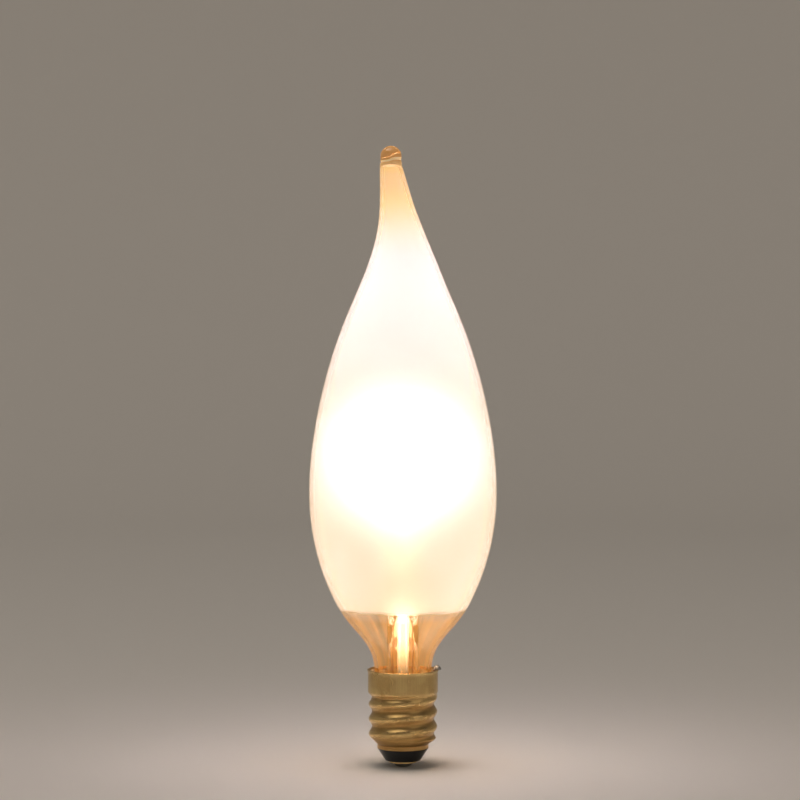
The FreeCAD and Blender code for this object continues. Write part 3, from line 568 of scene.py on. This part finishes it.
# Filament: tungsten wire wound to a fine coil and hung in an M between the leads. It
# is white hot, and duller where the leads cool its ends. Its turns are drawn about
# twice as coarse as the real ones.
COIL_RADIUS = 0.16
COIL_WIRE = 0.07
COIL_PITCH = 0.13
COIL_POINTS = 8
COIL_EASE = 0.2
FILAMENT_PATH = ((-SPAN, HEART), (-SPAN, 51.2), (-2.85, CREST), (-2.15, CREST), (-0.35, HEART),
                 (0.35, HEART), (2.15, CREST), (2.85, CREST), (SPAN, 51.2), (SPAN, HEART))
TUNGSTEN = 0x9A9690
FILAMENT_HOT = 0xFFE9C4
HOT_SPAN = 3.6
END_GLOW = 2.0
HOT_GLOW = 18.0


def along(distance):
    """The point of the filament's centre line this far from its start."""
    for (x0, z0), (x1, z1) in zip(FILAMENT_PATH, FILAMENT_PATH[1:]):
        length = math.hypot(x1 - x0, z1 - z0)
        if distance <= length:
            break
        distance -= length
    share = clamp(distance / length, 0, 1)
    return Vector((x0 + (x1 - x0) * share, 0, z0 + (z1 - z0) * share))


filament_length = sum(math.dist(a, b) for a, b in zip(FILAMENT_PATH, FILAMENT_PATH[1:]))
coil = []
for index in range(round(filament_length / COIL_PITCH) * COIL_POINTS):
    distance = index * COIL_PITCH / COIL_POINTS
    before = along(max(distance - COIL_EASE, 0))
    after = along(min(distance + COIL_EASE, filament_length))
    forward = (after - before).normalized()
    across = forward.cross(Vector((0, 1, 0)))
    angle = math.tau * index / COIL_POINTS
    coil.append((before + after) / 2 + COIL_RADIUS * (across * math.cos(angle)
                                                      + Vector((0, 1, 0)) * math.sin(angle)))
hot_tungsten, shader = new_material("white_hot_tungsten", Metallic=1.0, Roughness=0.4,
                                    Base_Color=linear(TUNGSTEN), Emission_Color=linear(FILAMENT_HOT))
place = add_node(hot_tungsten, "TexCoord").outputs["Object"]
axes = add_node(hot_tungsten, "SeparateXYZ", {"Vector": place})
middle = add_node(hot_tungsten, "Math", {0: axes.outputs["X"]}, operation="ABSOLUTE")
heat = add_node(hot_tungsten, "MapRange", {
    "Value": middle.outputs["Value"], "From Min": SPAN * MM, "From Max": HOT_SPAN * MM,
    "To Min": END_GLOW, "To Max": HOT_GLOW})
drive(hot_tungsten, heat.outputs["Result"], shader.inputs["Emission Strength"])
add_piece("coiled_filament", wire_mesh(coil, COIL_WIRE, smooth=False, roundness=0), "filament",
          [hot_tungsten])

# Envelope: one blown piece of thin glass, with the tip drawn out hot, bent over and
# melted shut in a clear solid bead. A slanting notch runs round the foot of the bead,
# and a thin curved seam of trapped air lies inside it.
GLASS_WALL = 0.7
NECK_RADIUS = 4.9
NECK_RIM = 14.0
BELLY_RADIUS = 16.0
BELLY_HEIGHT = 46.8
LOWER_ARCS = ((41.0, 28.6), (22.0, 23.4), (-20.0, 21.1), (-8.063, 16.54))
UPPER_ARCS = ((63.0, 55.0), (89.0, 79.4))
ARC_STEPS = 14
TIP_RADIUS = 1.88
TIP_HEIGHT = 102.6
TIP_ANGLE = math.radians(10.4)
FLAME_HANDLE = 15.6
TIP_HANDLE = 5.6
TIP_STEPS = 36
CAVITY_SHARE = 0.98
DOME_FLATNESS = 0.5
BEAD_RADIUS = 1.8
BEAD_HEIGHT = 104.2
BEAD_NECK = ((1.85, 102.9), (1.8, 103.2), (1.7, 103.4), (1.74, 103.55), (1.79, 103.8))
BEAD_START = math.radians(-4)
BEAD_STEPS = 16
BEAD_WAVE = 0.3
BEAD_WAVE_HEIGHT = 103.7
BEAD_WAVE_REACH = 0.9
BEAD_WAVE_SLOPE = 1.5
SEAM_RADII = (1.35, 1.2, 0.16)
SEAM_PLACE = (0.1, 0.0, 104.35)
SEAM_WAVE = 0.35
SEAM_SLOPE = 2
BEND_START = 84.5
BEND_END = 94.0
LEAN = math.radians(8.65)
ENVELOPE_SEGMENTS = 144
CORE = Vector((0, 0, 52.8)) * MM


def tangent_arcs(arcs):
    """Points (radius, height, lean) of arcs that leave the belly, each given by its
    radius, negative where it is hollow, and by the height of its end."""
    radius, height, lean = BELLY_RADIUS, BELLY_HEIGHT, 0.0
    points = [(radius, height, lean)]
    for bend, end in arcs:
        turned = math.asin(clamp(math.sin(lean) + (end - height) / bend, -1, 1))
        for step in range(1, ARC_STEPS + 1):
            angle = lean + (turned - lean) * step / ARC_STEPS
            points.append((radius + bend * (math.cos(angle) - math.cos(lean)),
                           height + bend * (math.sin(angle) - math.sin(lean)), angle))
        radius, height, lean = points[-1]
    return points


def axis_shift(height):
    """How far the axis has left the middle at a height: an arc, then straight on."""
    height = min(height, TIP_HEIGHT)
    bent = clamp(height, BEND_START, BEND_END) - BEND_START
    return -math.tan(LEAN) * (bent ** 2 / 2 / (BEND_END - BEND_START) + max(height - BEND_END, 0))


belly = [(NECK_RADIUS, NECK_RIM, 0.0)] + tangent_arcs(LOWER_ARCS)[::-1] + tangent_arcs(UPPER_ARCS)[1:]
radius, height, lean = belly[-1]
handles = [(radius, height),
           (radius - FLAME_HANDLE * math.sin(lean), height + FLAME_HANDLE * math.cos(lean)),
           (TIP_RADIUS + TIP_HANDLE * math.sin(TIP_ANGLE), TIP_HEIGHT - TIP_HANDLE * math.cos(TIP_ANGLE)),
           (TIP_RADIUS, TIP_HEIGHT)]
outside = [(radius, height) for radius, height, lean in belly]
inside = [(radius - GLASS_WALL * math.cos(lean), height - GLASS_WALL * math.sin(lean))
          for radius, height, lean in belly]
for step in range(1, TIP_STEPS + 1):
    t = step / TIP_STEPS
    weights = ((1 - t) ** 3, 3 * (1 - t) ** 2 * t, 3 * (1 - t) * t ** 2, t ** 3)
    radius = sum(weight * handle[0] for weight, handle in zip(weights, handles))
    height = sum(weight * handle[1] for weight, handle in zip(weights, handles))
    outside.append((radius, height))
    if t <= CAVITY_SHARE:
        inside.append((radius - GLASS_WALL, height))
dome_radius, dome_height = inside[-1]
for step in range(1, BEAD_STEPS + 1):
    angle = math.radians(90) * step / BEAD_STEPS
    inside.append((dome_radius * math.cos(angle),
                   dome_height + DOME_FLATNESS * dome_radius * math.sin(angle)))
outside += list(BEAD_NECK)
for step in range(BEAD_STEPS + 1):
    angle = BEAD_START + (math.radians(90) - BEAD_START) * step / BEAD_STEPS
    outside.append((max(BEAD_RADIUS * math.cos(angle), 0), BEAD_HEIGHT + BEAD_RADIUS * math.sin(angle)))
envelope_mesh = spun(inside[::-1] + outside, ENVELOPE_SEGMENTS, closed=False)
outward = sum(face.normal.dot(face.calc_center_median() - CORE) * face.calc_area()
              for face in envelope_mesh.faces)
if outward < 0:
    bmesh.ops.reverse_faces(envelope_mesh, faces=envelope_mesh.faces)
for face in envelope_mesh.faces:
    face.material_index = 1 if face.normal.dot(face.calc_center_median() - CORE) < 0 else 0
for vertex in envelope_mesh.verts:
    near = clamp(1 - abs(vertex.co.z / MM - BEAD_WAVE_HEIGHT) / BEAD_WAVE_REACH, 0, 1)
    vertex.co.z += BEAD_WAVE * near * math.tanh(BEAD_WAVE_SLOPE * vertex.co.x / MM) * MM
seam = bmesh.ops.create_uvsphere(envelope_mesh, u_segments=32, v_segments=12, radius=MM)["verts"]
bmesh.ops.scale(envelope_mesh, vec=SEAM_RADII, verts=seam)
for vertex in seam:
    vertex.co.z += SEAM_WAVE * math.tanh(SEAM_SLOPE * vertex.co.x / MM) * MM
bmesh.ops.translate(envelope_mesh, vec=Vector(SEAM_PLACE) * MM, verts=seam)
bmesh.ops.reverse_faces(envelope_mesh, faces=list({face for vertex in seam for face in vertex.link_faces}))
for vertex in envelope_mesh.verts:
    vertex.co.x += axis_shift(vertex.co.z / MM) * MM

# Clear blown glass: the smooth, glossy outer skin, tinted amber at the bead and the neck.
# It carries a painted glow by height in place of the filament's light piped in the wall:
# yellow over the belly and amber at the bead and the neck, with upright streaks of painted
# glow and ripple in the neck where it was drawn.
SKIN_PAINTED_GLOW = ((14.5, 0xFFA640, 0.0), (18.0, 0xFFA640, 0.12), (26.0, 0xFFAC48, 0.14),
              (28.0, 0xFFD078, 0.14), (60.0, 0xFFD078, 0.14), (90.0, 0xFFCB6C, 0.16),
              (102.4, 0xFFC05A, 0.18), (103.6, 0xFFA648, 0.08), (106.0, 0xFFA648, 0.12))
CLEAR_TINT = 0xFFFEFC
AMBER_TINT = 0xF2C88F
TOP_TINT_RANGE = (101.0, 103.5)
NECK_TINT_AND_GLOW_RANGE = (27.5, 25.5)
STREAK_WIDTH = 0.7
STREAK_RANGE = (0.35, 0.65)
STREAK_GLOW_SWING = (-0.6, 1.0)
STREAK_BUMP = 0.3
STREAK_DEPTH = 0.05
clear_glass, shader = new_material("clear_blown_glass_painted_glow", Roughness=0.02, IOR=CLEAR_IOR,
                                   Transmission_Weight=1.0)
place = add_node(clear_glass, "TexCoord").outputs["Object"]
axes = add_node(clear_glass, "SeparateXYZ", {"Vector": place})
top_tint = add_node(clear_glass, "MapRange", {
    "Value": axes.outputs["Z"], "From Min": TOP_TINT_RANGE[0] * MM, "From Max": TOP_TINT_RANGE[1] * MM})
neck_tint_and_glow_streaks = add_node(clear_glass, "MapRange", {
    "Value": axes.outputs["Z"], "From Min": NECK_TINT_AND_GLOW_RANGE[0] * MM, "From Max": NECK_TINT_AND_GLOW_RANGE[1] * MM})
tinted = add_node(clear_glass, "Math", {0: top_tint.outputs["Result"], 1: neck_tint_and_glow_streaks.outputs["Result"]},
                  operation="ADD")
tint = add_node(clear_glass, "Mix", {"Factor": tinted.outputs["Value"], 6: linear(CLEAR_TINT),
                                     7: linear(AMBER_TINT)}, data_type="RGBA")
drive(clear_glass, tint.outputs[2], shader.inputs["Base Color"])
drive(clear_glass, painted_glow_by_height(clear_glass, axes.outputs["Z"], SKIN_PAINTED_GLOW),
      shader.inputs["Emission Color"])
flat = add_node(clear_glass, "CombineXYZ", {"X": axes.outputs["X"], "Y": axes.outputs["Y"]})
bearing = add_node(clear_glass, "VectorMath", {0: flat.outputs["Vector"]}, operation="NORMALIZE")
glow_and_ripple_streaks = add_node(clear_glass, "TexNoise", {
    "Vector": bearing.outputs["Vector"], "Scale": NECK_RADIUS / STREAK_WIDTH, "Detail": 2.0})
# The streaks swing the painted glow of the neck and ripple its surface.
painted_glow_swing = add_node(clear_glass, "MapRange", {
    "Value": glow_and_ripple_streaks.outputs["Fac"], "From Min": STREAK_RANGE[0], "From Max": STREAK_RANGE[1],
    "To Min": STREAK_GLOW_SWING[0], "To Max": STREAK_GLOW_SWING[1]})
painted_glow_strength = add_node(clear_glass, "Math", {0: painted_glow_swing.outputs["Result"], 1: neck_tint_and_glow_streaks.outputs["Result"], 2: 1.0},
               operation="MULTIPLY_ADD")
drive(clear_glass, painted_glow_strength.outputs["Value"], shader.inputs["Emission Strength"])
waviness = add_node(clear_glass, "Math", {0: neck_tint_and_glow_streaks.outputs["Result"], 1: STREAK_BUMP},
                    operation="MULTIPLY")
bump = add_node(clear_glass, "Bump", {
    "Height": glow_and_ripple_streaks.outputs["Fac"], "Strength": waviness.outputs["Value"],
    "Distance": STREAK_DEPTH * MM})
drive(clear_glass, bump.outputs["Normal"], shader.inputs["Normal"])

# Frost: the inside of the same glass, etched matt with acid from above the clear neck
# up to the bead. It scatters the light of the filament's lamp, and carries a painted glow
# by height as well: warm low in the belly, none round the filament, white over the
# upper belly, turning to amber at the tip. Its grain is drawn some five times too coarse.
FROST_BOTTOM = 27.4
FROST_EDGE_SIZE = 3.3
FROST_EDGE_WAVE = 0.35
FROST_EDGE_SOFTNESS = 0.5
FROST_GRAIN = 0.17
FROST_GRAIN_DEPTH = 0.02
FROST_ROUGHNESS = 0.75
CLEAR_ROUGHNESS = 0.03
FROST_PAINTED_GLOW = ((26.9, 0xFFBF60, 0.15), (31.0, 0xFFC8A4, 0.15), (36.0, 0xFFC7AD, 0.15),
               (43.0, 0xFFBC78, 0.09), (53.0, 0xFFBC78, 0.0), (61.0, 0xEAD6FF, 0.0),
               (70.0, 0xEADCFF, 0.17), (87.0, 0xDBD2FF, 0.22), (92.0, 0xFFE4D3, 0.17),
               (96.2, 0xFFC340, 0.2), (99.6, 0xFFA020, 0.15), (102.7, 0xFFC748, 0.16))
FROST_TINT = 0xFFFEFB
frost, shader = new_material("etched_frost_painted_glow", IOR=CLEAR_IOR, Transmission_Weight=1.0,
                             Base_Color=linear(FROST_TINT))
place = add_node(frost, "TexCoord").outputs["Object"]
axes = add_node(frost, "SeparateXYZ", {"Vector": place})
edge = add_node(frost, "TexNoise", {
    "Vector": place, "Scale": 1 / (FROST_EDGE_SIZE * MM), "Detail": 3.0})
ragged = add_node(frost, "MapRange", {"Value": edge.outputs["Fac"], "To Min": -FROST_EDGE_WAVE * MM,
                                      "To Max": FROST_EDGE_WAVE * MM})
level = add_node(frost, "Math", {0: axes.outputs["Z"], 1: ragged.outputs["Result"]}, operation="ADD")
frost_and_glow_mask = add_node(frost, "MapRange", {
    "Value": level.outputs["Value"], "From Min": (FROST_BOTTOM - FROST_EDGE_SOFTNESS) * MM,
    "From Max": (FROST_BOTTOM + FROST_EDGE_SOFTNESS) * MM}, interpolation_type="SMOOTHSTEP")
matt = add_node(frost, "MapRange", {
    "Value": frost_and_glow_mask.outputs["Result"], "To Min": CLEAR_ROUGHNESS, "To Max": FROST_ROUGHNESS})
drive(frost, matt.outputs["Result"], shader.inputs["Roughness"])
drive(frost, painted_glow_by_height(frost, axes.outputs["Z"], FROST_PAINTED_GLOW), shader.inputs["Emission Color"])
drive(frost, frost_and_glow_mask.outputs["Result"], shader.inputs["Emission Strength"])
grain = add_node(frost, "TexNoise", {
    "Vector": place, "Scale": 1 / (FROST_GRAIN * MM), "Detail": 2.0})
bump = add_node(frost, "Bump", {
    "Height": grain.outputs["Fac"], "Strength": 0.1, "Distance": FROST_GRAIN_DEPTH * MM})
drive(frost, bump.outputs["Normal"], shader.inputs["Normal"])
envelope = add_piece("flame_envelope", envelope_mesh, "glass_bulb", [clear_glass, frost])

# Light of the filament: a small warm ball round the M, which the frost spreads and
# the room receives. Clear glass lets it pass without a shadow.
LAMP_RADIUS = 7.3
LAMP_POWER = 0.042
LAMP_COLOUR = 0xFFEFF4
lamp = bpy.data.lights.new("filament_light", "POINT")
lamp.energy = LAMP_POWER
lamp.color = linear(LAMP_COLOUR)[:3]
lamp.shadow_soft_size = LAMP_RADIUS * MM
lamp_holder = bpy.data.objects.new("filament_light", lamp)
lamp_holder.location = CORE
bpy.context.scene.collection.objects.link(lamp_holder)
for glass_piece in (envelope, stem_press, exhaust_tip, rod_with_button):
    glass_piece.visible_shadow = False

# Studio: a dish of pale matt paper that rises all round in a wide curve, with soft
# light kept low so that the lit glass stays the brightest thing.
FLOOR_RADIUS = 500
FLAT_SHARE = 0.95
COVE_RADIUS = 300
COVE_STEPS = 24
DISH_HEIGHT = 600
PAPER = 0xD8D5D0
LIGHT_AIM = Vector((0, 0, 0.05))
ROOM = 0xB8B0A8
ROOM_LIGHT = 0.14
line = [(0, 0), (FLOOR_RADIUS * FLAT_SHARE, 0)]
for step in range(COVE_STEPS + 1):
    angle = math.radians(90) * step / COVE_STEPS
    line.append((FLOOR_RADIUS + COVE_RADIUS * math.sin(angle), COVE_RADIUS * (1 - math.cos(angle))))
line.append((FLOOR_RADIUS + COVE_RADIUS, DISH_HEIGHT))
dish = spun(line, TURNED_SEGMENTS, closed=False)
data = bpy.data.meshes.new("paper_dish")
dish.to_mesh(data)
dish.free()
data.shade_smooth()
paper, shader = new_material("studio_paper", Base_Color=linear(PAPER), Roughness=0.85)
data.materials.append(paper)
backdrop = bpy.data.objects.new("paper_dish", data)
bpy.context.scene.collection.objects.link(backdrop)


def soft_light(name, place, size, power, colour):
    """A round soft light, in metres and watts, that faces the lamp."""
    light = bpy.data.lights.new(name, "AREA")
    light.shape = "DISK"
    light.size = size
    light.energy = power
    light.color = linear(colour)[:3]
    holder = bpy.data.objects.new(name, light)
    holder.location = place
    holder.rotation_euler = (LIGHT_AIM - Vector(place)).to_track_quat("-Z", "Y").to_euler()
    bpy.context.scene.collection.objects.link(holder)


soft_light("overhead_light", place=(-0.3, -0.15, 1.1), size=0.9, power=4.0, colour=0xFFF6EC)
soft_light("fill_light", place=(0.45, -0.45, 0.42), size=0.5, power=0.3, colour=0xFFF0E2)
world = bpy.data.worlds.new("dim_room")
world.use_nodes = True
world.node_tree.nodes["Background"].inputs["Color"].default_value = linear(ROOM)
world.node_tree.nodes["Background"].inputs["Strength"].default_value = ROOM_LIGHT
bpy.context.scene.world = world

# Camera: level with the upper flame, half a metre away, as the photograph was taken,
# and tipped down a little to take in the whole cap.
CAMERA_PLACE = Vector((-0.5, -494.0, 82.6)) * MM
CAMERA_TILT = math.radians(2.3)
FOCAL_PIXELS = 2900
FRAME_PIXELS = 800
SENSOR_WIDTH = 36.0
view = bpy.data.cameras.new("camera")
view.sensor_width = SENSOR_WIDTH
view.lens = FOCAL_PIXELS / FRAME_PIXELS * SENSOR_WIDTH
view.clip_start = 0.01
camera = bpy.data.objects.new("camera", view)
camera.location = CAMERA_PLACE
camera.rotation_euler = (math.radians(90) - CAMERA_TILT, 0, 0)
bpy.context.scene.collection.objects.link(camera)
bpy.context.scene.camera = camera
bpy.context.scene.view_settings.view_transform = "Standard"
